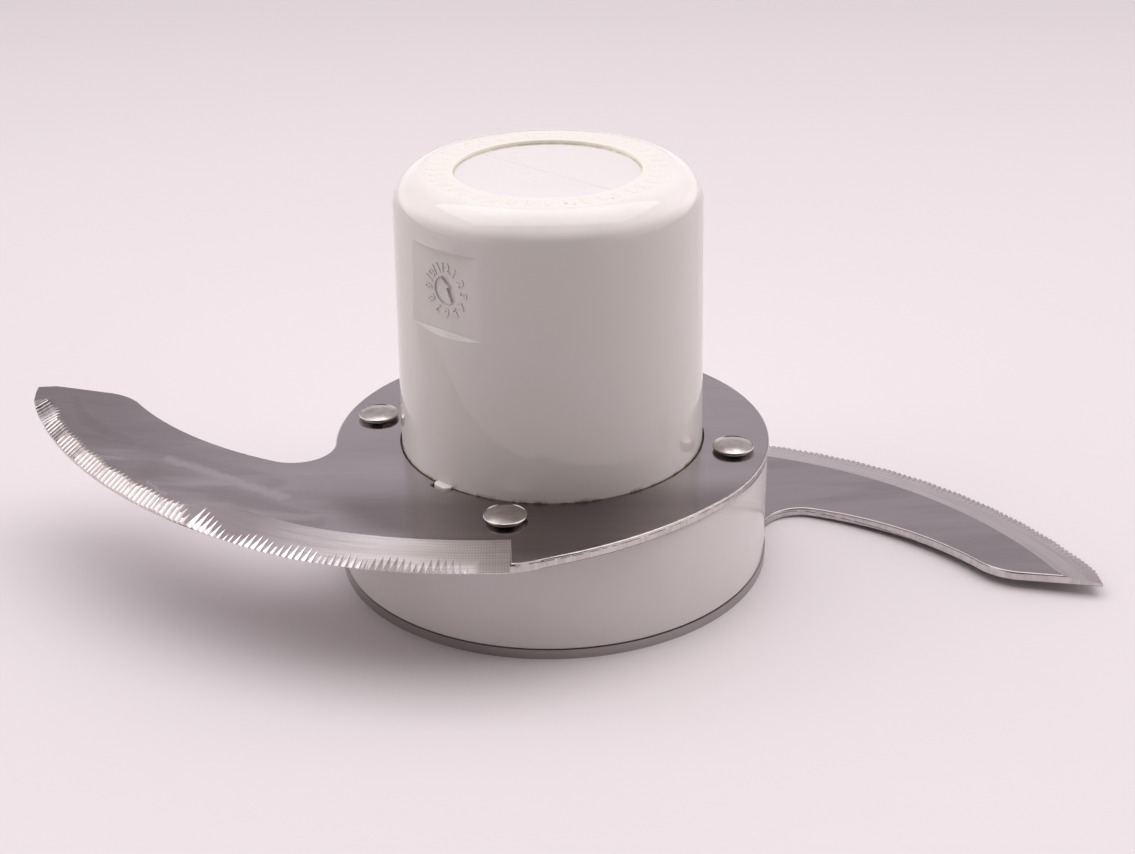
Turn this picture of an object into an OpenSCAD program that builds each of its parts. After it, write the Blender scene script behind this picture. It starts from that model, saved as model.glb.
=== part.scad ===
// Two-blade cutter of a food processor: a moulded hub with one stamped steel
// blade riveted on top of its base and a second one riveted underneath.
// The origin is on the drive axis, level with the lower blade's underside.
// +Z points up the hub and -X out along the upper blade.

/* [Blade outline] */
// Thickness of the blade sheet
sheet = 1.6; // [1.4:0.1:2.2]
// Radius of the ring that each blade has round the hub
ring_r = 36; // [35:0.25:37.5]
// Radius of the curved cutting edge
edge_r = 85.5; // [83:0.5:88]
// Centre of the cutting edge's curve, along the blade
edge_x = -9.2; // [-11:0.2:-7]
// Centre of the cutting edge's curve, across the blade
edge_y = 42.3; // [41:0.1:44]
// Radius of the hollow back of the blade
back_r = 54.5; // [53:0.5:57]
// Centre of the back's curve, along the blade
back_x = -25.9; // [-27:0.1:-25]
// Centre of the back's curve, across the blade
back_y = 41.8; // [41:0.1:43]
// Fillet between the ring and the back
root_fillet = 6.8; // [4:0.2:8]
// Where the straight back of the tip starts, along the blade
tip_x = -76.5; // [-78:0.1:-75]
// Where the straight back of the tip starts, across the blade
tip_y = 14.5; // [14:0.1:15.5]
// Slope of the straight back of the tip
tip_slope = 12; // [9:0.5:15]
// Rounding where the hollow back meets the tip
hump_r = 10; // [6:0.5:12]
// Where the tip's point is ground off, along the blade
tip_end_x = -89.2; // [-92:0.1:-86]
// Where the ring's front runs into the circle, as an angle round the hub
front_angle = -44; // [-48:1:-40]

/* [Cutting edge] */
// Width of the ground bevel
bevel_w = 7.2; // [6:0.1:9]
// Thickness left at the edge itself
edge_land = 0.2; // [0.15:0.05:0.3]
// Angle round the edge's centre where the bevel ends near the hub
bevel_end = -88.2; // [-92:0.2:-87]
// Angle round the edge's centre where the upper blade's bevel starts to run out
run_out_from = -117; // [-122:0.5:-112]
// Radius of the wheel that leaves the run-out
wheel_r = 113; // [90:1:150]
// Angle round the edge's centre where the upper blade's serration starts
teeth_from = -157.5; // [-158:0.5:-154]
// Angle round the edge's centre where the lower blade's serration starts
lower_teeth_from = -162.5; // [-163:0.5:-154]
// Angle round the edge's centre where the serration stops
teeth_to = -92.5; // [-98:0.5:-92]
// Angle from one pass of grooves to the next
pass_step = 5; // [4.6:0.1:6]
// Grooves ground in one pass
grooves = 8; // [5:1:9]
// Distance from groove to groove
groove_pitch = 1.08; // [0.9:0.02:1.2]
// How far a groove bites into the edge's outline
scallop = 0.3; // [0.2:0.05:0.4]
// Length of the middle groove of a pass
groove_length = 3.1; // [2.4:0.1:3.6]
// How much shallower the outer grooves of a pass are
groove_crown = 0.12; // [0.05:0.01:0.15]
// Turn of the grooves away from square near the tip
groove_skew = 20; // [0:1:25]
// How fast that turn fades towards the hub
skew_fade = 1.4; // [1.2:0.1:2]
// Tilt of a pass along the edge near the tip
groove_lean = 0.02; // [0:0.01:0.04]
// Most that a pass is lifted where the bevel has run out
groove_lift = 0.8; // [0.5:0.05:1]

/* [Blade fold] */
// How far the upper blade's arm is bent up
bend_angle = 3.3; // [0.5:0.1:5]
// How far the lower blade's arm is bent up
lower_bend = 2.2; // [0.5:0.1:5]
// Turn of the lower blade from the upper one
lower_turn = 177.5; // [176:0.5:184]

/* [Hub] */
// Radius of the hub where it leaves the upper blade
hub_r = 25; // [23:0.25:26]
// Overall height
total_h = 67.5; // [60:0.5:80]
// Height of the moulded base between the two blades
base_h = 18; // [12:0.2:24]
// Draft of the hub's side
hub_draft = 0.9; // [0.3:0.1:1.5]
// Rounding of the hub's top edge
top_fillet = 5.5; // [3:0.25:6]
// Wall of the hub
hub_wall = 2.8; // [2:0.1:3.6]
// Wall of the top
top_wall = 3.6; // [3:0.1:5]
// Radius of the shallow step round the lettering place on top
band_r = 19.8; // [18:0.2:20]
// Depth of that step
band_depth = 0.3; // [0.2:0.05:0.5]
// Radius of the recessed disc on top
disc_r = 14.8; // [12:0.2:16]
// Depth of the recessed disc
disc_depth = 1.1; // [0.8:0.1:1.5]
// Wall of the base's skirt
skirt_wall = 2.4; // [2:0.1:3]
// Thickness of the base's deck under the upper blade
deck = 2.6; // [2:0.1:4]
// How far the skirt stays inside the blades' rings
skirt_inset = 0.2; // [0:0.1:0.5]
// Ribs inside the hub
hub_ribs = 6; // [3:1:8]
// Thickness of the ribs
rib_t = 1.8; // [1.2:0.1:2.4]
// Wall of the bosses round the rivets
boss_wall = 2.2; // [1.8:0.1:2.6]

/* [Hub details] */
// Direction of the flat window in the hub's side
window_angle = -131.5; // [-150:0.5:-110]
// Width of the window
window_w = 13.6; // [10:0.2:14]
// Height of the window
window_h = 13.2; // [10:0.2:16]
// Height of the window's middle above the origin
window_z = 53.8; // [50:0.2:54]
// Radius of the ring that the mould's date insert leaves in the window
dial_r = 4.5; // [3:0.1:5.5]
// Radius of the insert's middle
dial_core_r = 2.35; // [1.5:0.05:2.6]
// Width and depth of the insert's witness lines
dial_line = 0.2; // [0.1:0.05:0.3]
// Direction of the key that sets the blades' turn
key_angle = -133; // [-136:1:-130]
// Width of the key
key_w = 3.4; // [2.5:0.1:4]
// How far the key stands out of the hub
key_out = 1.3; // [1:0.1:1.6]
// How far the key stands above the blade
key_proud = 0.4; // [0.2:0.1:0.6]

/* [Drive] */
// Radius of the drive bore
bore_r = 7.5; // [6:0.25:9]
// Length of the plain, round part of the bore
guide_l = 34; // [20:1:40]
// Radius of the keyed drive socket above it
socket_r = 6.5; // [5.5:0.1:6.8]
// Length of the keyed drive socket
socket_l = 22; // [12:1:23]
// Wall of the drive sleeve
sleeve_wall = 3.4; // [2.6:0.1:4]
// Drive keys in the socket
drive_keys = 4; // [2:1:6]
// Width of a drive key
drive_key_w = 2.4; // [1.8:0.1:3]
// Height of a drive key above the socket's wall
drive_key_h = 1.5; // [1:0.1:2]

/* [Rivets] */
// Distance of the rivets from the axis
rivet_pitch_r = 30.4; // [30:0.1:31]
// Direction of the first rivet
rivet_angle = 166; // [160:1:172]
// Radius of the shank
shank_r = 2; // [1.6:0.1:2.3]
// Radius of the head
head_r = 3.4; // [3:0.1:3.8]
// Height of the head's side
head_side = 0.7; // [0.5:0.1:1]
// How much the head's side slopes in underneath
head_taper = 0.3; // [0.1:0.1:0.5]
// Height of the head's dome above its side
head_dome = 0.7; // [0.4:0.1:1]
// Radius of the closed end, set in a countersink
tail_r = 3.1; // [2.8:0.1:3.4]
// Depth of the countersink
tail_depth = 1.1; // [0.8:0.1:1.2]

/* [Fits] */
// Gap between the hub and the blades' holes
hub_gap = 0.3; // [0.1:0.05:0.5]
// Gap round the key in its notch
key_gap = 0.35; // [0.1:0.05:0.5]
// Gap round a rivet's shank
shank_gap = 0.05; // [0.02:0.01:0.1]

/* [Hidden] */
white = "#e9e4e2";
steel = "#8f898d";
bright = "#b9b3b0";
rivets = 4;

// Reach of a cut past the whole part, past a face and past a circle's rim
far = 130;
cut = 1;
wide = 1.5;

// How far a rounding crosses its neighbours, so that no sliver is left
blend = 0.02;

// How much deeper the run-out's wheel cuts than the bevel that it meets
kiss = 0.01;

// A blade's bend is made in small folds just outside the ring
bend_start = 36.7;
bend_steps = 3;
bend_pitch = 1.3;

// The edge's arc runs on past the tip, and the bevel past the serration
beyond_tip = -175;
bevel_short = 0.3;
bevel_over = 3;
wheel_w = 50;

// The comb that cuts one pass of grooves: its reach inwards, length and height
comb_back = 2;
comb_l = 8;
comb_h = 3;

edge_c = [edge_x, edge_y];
back_c = [back_x, back_y];
tip_start = [tip_x, tip_y];
tip_dir = [-cos(tip_slope), sin(tip_slope)];
tip_in = [-tip_dir.y, tip_dir.x];
bevel_slope = (sheet - edge_land) / bevel_w;
top_of_base = sheet + base_h;
top_of_ring = top_of_base + sheet;
hole_r = hub_r + hub_gap;
skirt_r = ring_r - skirt_inset;
bore_top = guide_l + socket_l;
inner_top = total_h - disc_depth - top_wall;
sleeve_r = bore_r + sleeve_wall;
boss_r = shank_r + shank_gap + boss_wall;

// Point at a distance and an angle from a centre
function polar(r, a) = [r * cos(a), r * sin(a)];

// Where two circles cross, on the left of the line between their centres
function crossing(c1, r1, c2, r2) =
    let (between = c2 - c1, d = norm(between))
    let (along = (r1 * r1 - r2 * r2 + d * d) / (2 * d))
    let (aside = sqrt(r1 * r1 - along * along), dir = between / d)
    c1 + along * dir + aside * [-dir.y, dir.x];

// Point of the line from p along dir that lies at a distance r from c
function reach(p, dir, c, r) =
    let (w = p - c, along = w * dir)
    p + (sqrt(along * along - w * w + r * r) - along) * dir;

// Fillet between the ring and the hollow back: it touches both circles
root_c = crossing([0, 0], ring_r + root_fillet, back_c, back_r - root_fillet);
root_on_ring = root_c * ring_r / (ring_r + root_fillet);
root_on_back = back_c + (root_c - back_c) * back_r / (back_r - root_fillet);

// Rounding between the hollow back and the straight back of the tip
hump_c = reach(tip_start + tip_in * hump_r, tip_dir, back_c, back_r + hump_r);
hump_on_tip = hump_c - tip_in * hump_r;
hump_on_back = back_c + (hump_c - back_c) * back_r / (back_r + hump_r);
hump_mid = (hump_on_tip + hump_on_back) / 2;

// The ring's front: an arc from the bevel's end that runs out into the circle
front_from = edge_c + polar(edge_r, bevel_end);
front_to = polar(ring_r, front_angle);
front_chord = front_to - front_from;
front_r = front_chord * front_chord / (2 * front_chord * polar(1, front_angle));
front_c = front_to - polar(front_r, front_angle);

module disc(c, r, fn = 180) {
    translate(c) circle(r = r, $fn = fn);
}

// Slice of a disc between two points of its rim
module slice(c, r, p, q) {
    mid = (p + q) / 2;
    intersection() {
        disc(c, r, 360);
        polygon([c, c + wide * (p - c), c + 2 * wide * (mid - c), c + wide * (q - c)]);
    }
}

// The arm: inside the cutting edge's arc, outside the hollow back
module arm_outline() {
    tip_end = edge_c + polar(edge_r, beyond_tip);
    difference() {
        slice(edge_c, edge_r, front_from, tip_end);
        disc(back_c, back_r, 240);
        polygon([
            tip_start - far * tip_dir, tip_start + far * tip_dir,
            tip_start + far * tip_dir - far * tip_in, tip_start - far * tip_dir - far * tip_in
        ]);
        translate([tip_end_x - far, -far]) square([far, 2 * far]);
        difference() {
            polygon([hump_c, hump_on_tip, 2 * hump_mid - (hump_c + hump_mid) / 2, hump_on_back]);
            disc(hump_c, hump_r + blend, 120);
        }
    }
}

// One blade's outline, with the hub's hole left for later
module blade_outline() {
    disc([0, 0], ring_r, 240);
    arm_outline();
    slice(front_c, front_r, front_from, front_to);
    difference() {
        polygon([
            root_on_ring, root_c, root_on_back, [root_on_back.x, root_on_back.y - root_fillet],
            [root_on_ring.x + root_fillet, root_on_back.y - root_fillet]
        ]);
        disc(root_c, root_fillet + blend, 120);
    }
}

// Everything that the grinding wheel takes off the top of the edge
module bevel_cut(from) {
    to = bevel_end - bevel_short;
    translate(edge_c)
        rotate([0, 0, from])
            rotate_extrude(angle = to - from, $fn = 360)
                polygon([
                    [edge_r - bevel_w - cut, sheet + bevel_slope * cut],
                    [edge_r + bevel_over, edge_land - bevel_slope * bevel_over],
                    [edge_r + bevel_over, sheet + cut],
                    [edge_r - bevel_w - cut, sheet + cut]
                ]);
}

// Where the wheel leaves the sheet before the tip: it rolls up off the bevel
module run_out_cut() {
    translate(edge_c)
        rotate([0, 0, run_out_from])
            translate([edge_r, 0, edge_land - kiss])
                rotate([0, atan(bevel_slope), 0])
                    translate([-wheel_w / 2, 0, wheel_r])
                        rotate([0, 90, 0])
                            cylinder(r = wheel_r, h = wheel_w, $fn = 360);
}

// One pass of the serrating wheel: a comb of grooves, crowned in the middle
module groove_comb(skew, lean, lift) {
    rise = (edge_land + bevel_slope * groove_length) / (groove_length - scallop);
    depth = edge_land + bevel_slope * scallop + lift;
    pitch = groove_pitch * cos(skew);
    half = grooves * pitch / 2;
    function floor_at(x) =
        lift + groove_crown * pow(x / half, 2) + lean * x - rise * (x * sin(skew) + scallop);
    rotate([0, 0, skew])
        rotate([0, -atan(rise * cos(skew)), 0])
            translate([-comb_back, 0, 0])
                rotate([90, 0, 90])
                    linear_extrude(height = comb_l)
                        polygon([
                            for (i = [0:2 * grooves])
                                let (x = i * pitch / 2 - half)
                                [x, floor_at(x) + (i % 2 == 0 ? depth : 0)],
                            [half, comb_h],
                            [-half, comb_h]
                        ]);
}

// How far the bevel has risen at an angle past the start of its run-out
function risen(a) =
    let (past = max(0, run_out_from - a) * PI / 180 * edge_r)
    past * past / 2 * (1 / wheel_r + bevel_slope / edge_r);

// The serration: passes of the comb side by side along the edge
module serration(from, runs_out) {
    passes = round((teeth_to - from) / pass_step);
    for (i = [0:passes - 1]) {
        a = teeth_to - (passes - i - 0.5) * pass_step;
        share = i == 0 ? 0 : max(0, 1 - i / passes * skew_fade);
        lift = runs_out ? min(groove_lift, risen(a)) : 0;
        translate(edge_c)
            rotate([0, 0, a])
                translate([edge_r, 0, 0])
                    rotate([0, 0, 180])
                        groove_comb(groove_skew * share, groove_lean * share, lift);
    }
}

// The upper blade's bevel runs out before the tip, the lower one's doesn't
module flat_blade(upper) {
    difference() {
        linear_extrude(height = sheet) blade_outline();
        bevel_cut(upper ? run_out_from : beyond_tip);
        if (upper) run_out_cut();
        serration(upper ? teeth_from : lower_teeth_from, upper);
    }
}

// Hole for the hub, with the notch for its key
module hub_hole(turn) {
    translate([0, 0, -cut])
        cylinder(r = hole_r, h = sheet + 2 * cut, $fn = 180);
    rotate([0, 0, key_angle + turn])
        translate([hole_r - cut, -key_w / 2 - key_gap, -cut])
            cube([key_out + cut, key_w + 2 * key_gap, sheet + 2 * cut]);
}

module at_rivets() {
    for (i = [0:rivets - 1])
        rotate([0, 0, rivet_angle + i * 360 / rivets])
            translate([rivet_pitch_r, 0, 0])
                children();
}

module rivet_holes(h) {
    at_rivets()
        translate([0, 0, -cut])
            cylinder(r = shank_r + shank_gap, h = h + 2 * cut, $fn = 60);
}

// Leans what lies beyond a fold up, so that both sides still match along the fold
module folded(k, bend) {
    line = -bend_start - (k - 1) * bend_pitch;
    lean = tan(bend) / bend_steps;
    if (k == 0)
        children();
    else
        folded(k - 1, bend)
            translate([line, 0, 0])
                multmatrix([[1, 0, 0, 0], [0, 1, 0, 0], [-lean, 0, 1, 0]])
                    translate([-line, 0, 0])
                        children();
}

// The stretch of the flat blade between fold k and the next one
module stretch(k, upper) {
    from = k == 0 ? far : -bend_start - (k - 1) * bend_pitch;
    to = k == bend_steps ? -far : -bend_start - k * bend_pitch;
    intersection() {
        flat_blade(upper);
        translate([to, -far, -cut])
            cube([from - to, 2 * far, sheet + 2 * cut]);
    }
}

module bent_blade(upper) {
    bend = upper ? bend_angle : lower_bend;
    for (k = [0:bend_steps])
        folded(k, bend) stretch(k, upper);
}

module upper_blade() {
    color(steel)
        translate([0, 0, top_of_base])
            difference() {
                bent_blade(true);
                hub_hole(0);
                rivet_holes(sheet);
            }
}

module lower_blade() {
    color(steel)
        difference() {
            rotate([0, 0, lower_turn]) bent_blade(false);
            hub_hole(lower_turn);
            rivet_holes(sheet);
            at_rivets() rivet_tail();
        }
}

// Side of the hub: a drafted wall that rounds over into the top
module hub_side() {
    foot = hub_r;
    arc_z = total_h - top_fillet;
    arc_x = foot - (arc_z - top_of_ring) * tan(hub_draft) - top_fillet / cos(hub_draft);
    polygon([
        [0, top_of_ring], [foot, top_of_ring],
        [arc_x + top_fillet * cos(hub_draft), arc_z + top_fillet * sin(hub_draft)],
        [arc_x, total_h], [0, total_h]
    ]);
    translate([arc_x, arc_z]) circle(r = top_fillet, $fn = 120);
}

module key(turn, z, h) {
    rotate([0, 0, key_angle + turn])
        translate([hub_r - hub_wall / 2, -key_w / 2, z])
            cube([hub_wall / 2 + hub_gap + key_out - key_gap, key_w, h]);
}

// Inside of the hub: a drafted pocket that ribs and the drive sleeve divide
module hub_pocket() {
    difference() {
        translate([0, 0, -cut])
            cylinder(r1 = hub_r - hub_wall, r2 = hub_r - hub_wall - inner_top * tan(hub_draft),
                h = inner_top + cut, $fn = 180);
        translate([0, 0, -cut])
            cylinder(r = sleeve_r, h = inner_top + 2 * cut, $fn = 120);
        for (i = [0:hub_ribs - 1])
            rotate([0, 0, i * 360 / hub_ribs])
                translate([bore_r + sleeve_wall / 2, -rib_t / 2, 0])
                    cube([hub_r, rib_t, total_h]);
    }
}

// Inside of the base: a ring pocket, open below, with ribs and rivet bosses
module base_pocket() {
    pocket_h = base_h - deck;
    difference() {
        translate([0, 0, sheet - cut])
            cylinder(r = skirt_r - skirt_wall, h = pocket_h + cut, $fn = 180);
        translate([0, 0, sheet - 2 * cut])
            cylinder(r = hub_r, h = pocket_h + 3 * cut, $fn = 180);
        at_rivets()
            translate([0, 0, sheet - 2 * cut])
                cylinder(r = boss_r, h = pocket_h + 3 * cut, $fn = 60);
        for (i = [0:2 * rivets - 1])
            rotate([0, 0, rivet_angle + (i + 0.5) * 180 / rivets])
                translate([hub_r - hub_wall / 2, -rib_t / 2, sheet])
                    cube([ring_r - hub_r, rib_t, pocket_h + cut]);
    }
}

// Plain guide bore, then a socket with drive keys
module drive_bore() {
    translate([0, 0, -cut])
        cylinder(r = bore_r, h = guide_l + cut, $fn = 120);
    difference() {
        translate([0, 0, guide_l - cut])
            cylinder(r = socket_r, h = socket_l + cut, $fn = 120);
        for (i = [0:drive_keys - 1])
            rotate([0, 0, i * 360 / drive_keys])
                translate([socket_r - drive_key_h, -drive_key_w / 2, guide_l - 2 * cut])
                    cube([drive_key_h + cut, drive_key_w, socket_l + 4 * cut]);
    }
}

// A witness line round the mould's date insert
module dial_ring(r) {
    difference() {
        cylinder(r = r, h = dial_line + cut, $fn = 90);
        translate([0, 0, -cut])
            cylinder(r = r - dial_line, h = dial_line + 3 * cut, $fn = 90);
    }
}

// Flat window in the hub's side, its floor a chord of the round wall
module window() {
    wall_r = hub_r - (window_z - top_of_ring) * tan(hub_draft);
    floor_r = sqrt(wall_r * wall_r - window_w * window_w / 4);
    rotate([0, 0, window_angle]) {
        translate([floor_r, -window_w, window_z - window_h / 2])
            cube([hub_r, 2 * window_w, window_h]);
        translate([floor_r - dial_line, 0, window_z])
            rotate([0, 90, 0]) {
                dial_ring(dial_r);
                dial_ring(dial_core_r);
            }
    }
}

module hub() {
    color(white)
        difference() {
            union() {
                rotate_extrude($fn = 180) hub_side();
                translate([0, 0, sheet])
                    cylinder(r = skirt_r, h = base_h, $fn = 240);
                cylinder(r = hub_r, h = top_of_ring, $fn = 180);
                key(0, top_of_base, sheet + key_proud);
                key(lower_turn, 0, sheet + cut);
            }
            hub_pocket();
            base_pocket();
            drive_bore();
            window();
            rivet_holes(top_of_base);
            translate([0, 0, total_h - band_depth])
                cylinder(r = band_r, h = cut, $fn = 180);
            translate([0, 0, total_h - disc_depth])
                cylinder(r = disc_r, h = disc_depth + cut, $fn = 180);
        }
}

// Countersunk closed end of a rivet, level with the lower blade's underside
module rivet_tail() {
    cylinder(r1 = tail_r, r2 = shank_r, h = tail_depth, $fn = 60);
}

module rivet(i) {
    dome_r = (head_r * head_r + head_dome * head_dome) / (2 * head_dome);
    color(bright)
        rotate([0, 0, rivet_angle + i * 360 / rivets])
            translate([rivet_pitch_r, 0, 0]) {
                rivet_tail();
                cylinder(r = shank_r, h = top_of_ring, $fn = 60);
                translate([0, 0, top_of_ring])
                    cylinder(r1 = head_r - head_taper, r2 = head_r, h = head_side, $fn = 60);
                translate([0, 0, top_of_ring + head_side])
                    intersection() {
                        cylinder(r = head_r, h = head_dome, $fn = 60);
                        translate([0, 0, head_dome - dome_r]) sphere(r = dome_r, $fn = 90);
                    }
            }
}

module rivet_1() {
    rivet(0);
}

module rivet_2() {
    rivet(1);
}

module rivet_3() {
    rivet(2);
}

module rivet_4() {
    rivet(3);
}

hub();
upper_blade();
lower_blade();
rivet_1();
rivet_2();
rivet_3();
rivet_4();
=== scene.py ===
import math
import random
from collections import namedtuple

import bmesh
import bpy
from mathutils import Matrix, Vector


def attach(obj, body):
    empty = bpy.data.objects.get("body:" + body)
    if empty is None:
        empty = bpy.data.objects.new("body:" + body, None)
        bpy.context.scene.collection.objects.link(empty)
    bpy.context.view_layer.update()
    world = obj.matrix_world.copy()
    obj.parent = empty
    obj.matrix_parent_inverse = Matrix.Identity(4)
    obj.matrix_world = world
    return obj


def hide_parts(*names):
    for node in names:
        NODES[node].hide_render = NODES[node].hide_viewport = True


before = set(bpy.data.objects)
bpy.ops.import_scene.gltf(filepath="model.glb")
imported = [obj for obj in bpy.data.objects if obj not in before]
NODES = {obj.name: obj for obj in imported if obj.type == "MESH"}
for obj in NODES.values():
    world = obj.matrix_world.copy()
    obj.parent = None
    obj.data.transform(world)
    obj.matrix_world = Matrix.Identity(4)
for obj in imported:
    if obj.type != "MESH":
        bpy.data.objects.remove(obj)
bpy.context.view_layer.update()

bl_info = {
    "name": "Food processor blade",
    "version": (1, 0),
    "blender": (4, 5, 0),
    "location": "View3D > Sidebar > Cutter",
    "description": "Dresses the packed food processor blade and sets it on a plain floor",
    "category": "Object",
}

MM = 0.001

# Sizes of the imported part, in millimetres and degrees, as its source has them or works them out
SHEET, BASE_H, RING_R = 1.6, 18.0, 36.0
EDGE_R, EDGE_X, EDGE_Y = 85.5, -9.2, 42.3
LOWER_TURN = 177.5
BEVEL_W, BEVEL_SLOPE, EDGE_LAND = 7.2, 0.1944, 0.2
TEETH_TO, PASS_STEP, PASSES = -92.5, 5.0, 13
GROOVES, GROOVE_PITCH, GROOVE_L, GROOVE_SKEW, SKEW_FADE, SCALLOP = 8, 1.08, 3.1, 20.0, 1.4, 0.3
BEND_START, BEND_PITCH, BEND_STEPS, BEND_ANGLE = 36.7, 1.3, 3, 3.3
HUB_R, TOTAL_H, DRAFT, TOP_FILLET = 25.0, 67.5, 0.9, 5.5
HUB_WALL, TOP_WALL = 2.8, 3.6
BAND_R, BAND_DEPTH, DISC_R, DISC_DEPTH = 19.8, 0.3, 14.8, 1.1
SKIRT_R, SKIRT_WALL, DECK = 35.8, 2.4, 2.6
BORE_R, GUIDE_L, SOCKET_R, SOCKET_L, SLEEVE_WALL = 7.5, 34.0, 6.5, 22.0, 3.4
RIBS, RIB_T = 6, 1.8
KEYS, KEY_W, KEY_H = 4, 2.4, 1.5
NUB_ANGLE, NUB_W, NUB_OUT, NUB_PROUD = -133.0, 3.4, 1.25, 0.4
WINDOW_ANGLE, WINDOW_W, WINDOW_H, WINDOW_Z = -131.5, 13.6, 13.2, 53.8
DIAL_R, DIAL_CORE_R = 4.5, 2.35
RIVETS, RIVET_R, RIVET_ANGLE, SHANK_R, SHANK_GAP, BOSS_R = 4, 30.4, 166.0, 2.0, 0.05, 4.25
HEAD_R, HEAD_SIDE, HEAD_TAPER, HEAD_DOME, TAIL_R, TAIL_DEPTH = 3.4, 0.7, 0.3, 0.7, 3.1, 1.1
BASE_TOP = SHEET + BASE_H
RING_TOP = BASE_TOP + SHEET
DISC_Z, BAND_Z = TOTAL_H - DISC_DEPTH, TOTAL_H - BAND_DEPTH
INNER_TOP = DISC_Z - TOP_WALL
BAND_MID = (DISC_R + BAND_R) / 2

# Fine forms that only this script has, in millimetres and degrees
BEVEL_END, END_SKEW = -87.95, -3.0
# A groove's section near the tip: share of the pitch from its bottom, and height
GROOVE_SECTION = ((0.0, 0.0), (0.25, 0.38), (0.5, 0.43), (0.75, 0.38))
GROOVE_CROWN, FIRST_PASS_DEPTH = 0.3, 0.6
# What is ground off the tip: its corner lies at the second point, between the ends of the two edges that meet there
TIP_OFF = ((-88.0, 7.1), (-89.25, 15.9), (-84.9, 16.75), (-83.9, 21.0), (-96.0, 24.0), (-96.0, 6.0))
MERGE, FLAT_WITHIN = 0.003, 0.25
LEDGE_DROP = 2.8
KNIT_ANGLE, POINTER_ANGLE, NUMBER_SIZE = -44.2, 24.0, 2.0

# Dried marks on the upper arm, in millimetres: from, to, width and strength
DARK_MARKS = (
    ((-82.0, 11.8), (-77.9, 3.1), 1.3, 0.5), ((-77.9, 3.1), (-73.8, -1.1), 2.2, 0.5),
    ((-73.8, -1.1), (-69.0, -4.6), 2.0, 0.4), ((-80.6, -1.6), (-74.0, -3.6), 1.2, 0.35),
    ((-65.7, -5.6), (-44.7, -16.8), 3.2, 0.35), ((-64.0, -14.5), (-37.0, -29.2), 4.2, 0.45),
)
LIGHT_MARKS = (
    ((-73.2, -9.6), (-69.2, -10.5), 0.7, 0.35), ((-63.6, -18.0), (-60.2, -22.1), 0.6, 0.3),
    ((-62.0, -10.0), (-42.0, -21.5), 1.6, 0.25),
)

# How far the normals of the faces look up: flats lie above the first span, and the bevel's open face above the second
FLAT_UP, OPEN_UP = (0.9945, 0.990), (0.968, 0.977)

# The camera's place in metres, its lens in millimetres and its angles in radians
CAMERA_AT, CAMERA_LENS = (0.0, -0.26535, 0.15081), 56.13
CAMERA_DOWN, CAMERA_ROLL, CAMERA_YAW = 0.451284614, -0.0133811552, -0.00963160584


def linear(code):
    """An sRGB hex colour as linear red, green, blue and alpha."""
    parts = [int(code[i:i + 2], 16) / 255 for i in (1, 3, 5)]
    return tuple(c / 12.92 if c <= 0.04045 else ((c + 0.055) / 1.055) ** 2.4 for c in parts) + (1.0,)


# ---- materials

def node(tree, kind, inputs=(), out=0, **settings):
    """Adds one shader node with its settings, its inputs' values or links by place or name, and gives an output."""
    n = tree.nodes.new("ShaderNode" + kind)
    for name, value in settings.items():
        setattr(n, name, value)
    for key, value in inputs.items() if isinstance(inputs, dict) else enumerate(inputs):
        if isinstance(value, bpy.types.NodeSocket):
            tree.links.new(value, n.inputs[key])
        else:
            n.inputs[key].default_value = value
    return n.outputs if out is None else n.outputs[out]


def mask(tree, *parts):
    """The product of its parts: masks, numbers, and smooth spans of a value.

    A span is (value, start, full): 0 where the value is before start, 1 where it is past full. Two more numbers give
    what it is there instead of 0 and 1.
    """
    product = None
    for part in parts:
        if isinstance(part, tuple):
            value, start, full, *ends = part
            part = node(tree, "MapRange", (value, start, full, *(ends or (0.0, 1.0))), interpolation_type="SMOOTHSTEP")
        product = part if product is None else node(tree, "Math", (product, part), operation="MULTIPLY")
    return product


def layered(tree, colour, *layers):
    """Lays colours over a first one in turn, each with the mask or share that it is laid by; hex codes or sockets."""
    for share, over in layers:
        first, second = (linear(c) if isinstance(c, str) else c for c in (colour, over))
        colour = node(tree, "Mix", {0: share, 6: first, 7: second}, out=2, data_type="RGBA")
    return colour


def millimetres(tree):
    """Object coordinates in millimetres: the vector and its x, y and z."""
    place = node(tree, "TexCoord", out="Object")
    mm = node(tree, "VectorMath", {0: place, "Scale": 1 / MM}, operation="SCALE")
    return (mm, *node(tree, "SeparateXYZ", (mm,), out=None))


def facing_up(tree):
    """How far a face looks up: 1 for a level one, 0 for an upright one."""
    return node(tree, "SeparateXYZ", (node(tree, "TexCoord", out="Normal"),), out=2)


def polar(tree, x, y, cx=0.0, cy=0.0):
    """Distance in the plane from a point, and the angle round it."""
    dx, dy = (node(tree, "Math", pair, operation="SUBTRACT") for pair in ((x, cx), (y, cy)))
    squares = node(tree, "Math", (mask(tree, dx, dx), mask(tree, dy, dy)), operation="ADD")
    return node(tree, "Math", (squares,), operation="SQRT"), node(tree, "Math", (dy, dx), operation="ARCTAN2")


def new_material(name):
    """An empty material with its Principled shader."""
    m = bpy.data.materials.new(name)
    m.use_nodes = True
    return m, m.node_tree, m.node_tree.nodes["Principled BSDF"]


def surface(tree, shader, colour, rough, height, strength):
    """Links a material's colour, its roughness and the height of its fine relief in millimetres."""
    relief = node(tree, "Bump", {"Strength": strength, "Distance": MM, "Height": height})
    for name, socket in (("Base Color", colour), ("Roughness", rough), ("Normal", relief)):
        tree.links.new(socket, shader.inputs[name])


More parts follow.
